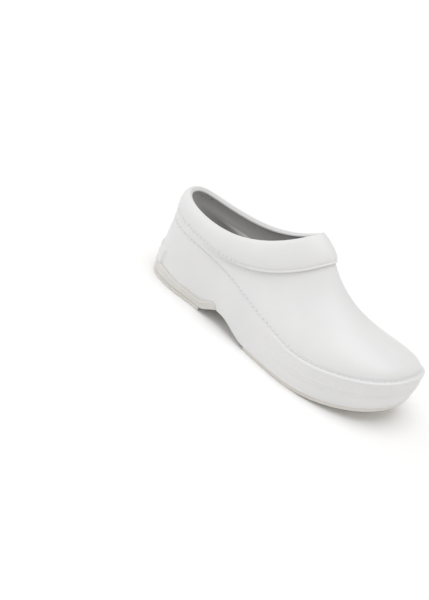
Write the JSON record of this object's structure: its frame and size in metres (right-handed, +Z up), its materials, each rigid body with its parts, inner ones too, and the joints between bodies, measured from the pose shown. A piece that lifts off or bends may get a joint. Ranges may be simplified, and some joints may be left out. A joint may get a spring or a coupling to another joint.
{
  "type": "nursing shoe",
  "caption": "Closed-back, closed-toe slip-on work clog with a rolled collar cuff, ledge round the toe, heel rim with kick tab, arch gap and separate heel and forefoot tread pads.",
  "frame": {"origin": "on the ground plane, in the middle of the shoe's box seen from above", "axes": "+X from the heel to the toe, +Y to the inner side of the foot, +Z up"},
  "size_m": [0.2748, 0.105, 0.113],
  "materials": {
    "foam": "satin moulded foam, very fine grain",
    "sole_foam": "satin moulded foam, smooth",
    "rubber": "matte rubber",
    "lining": "matte textile"
  },
  "bodies": {
    "root": {"upper": "foam", "midsole": "sole_foam", "outsole_forefoot": "rubber", "outsole_heel": "rubber", "insole": "lining"}
  },
  "joints": []
}
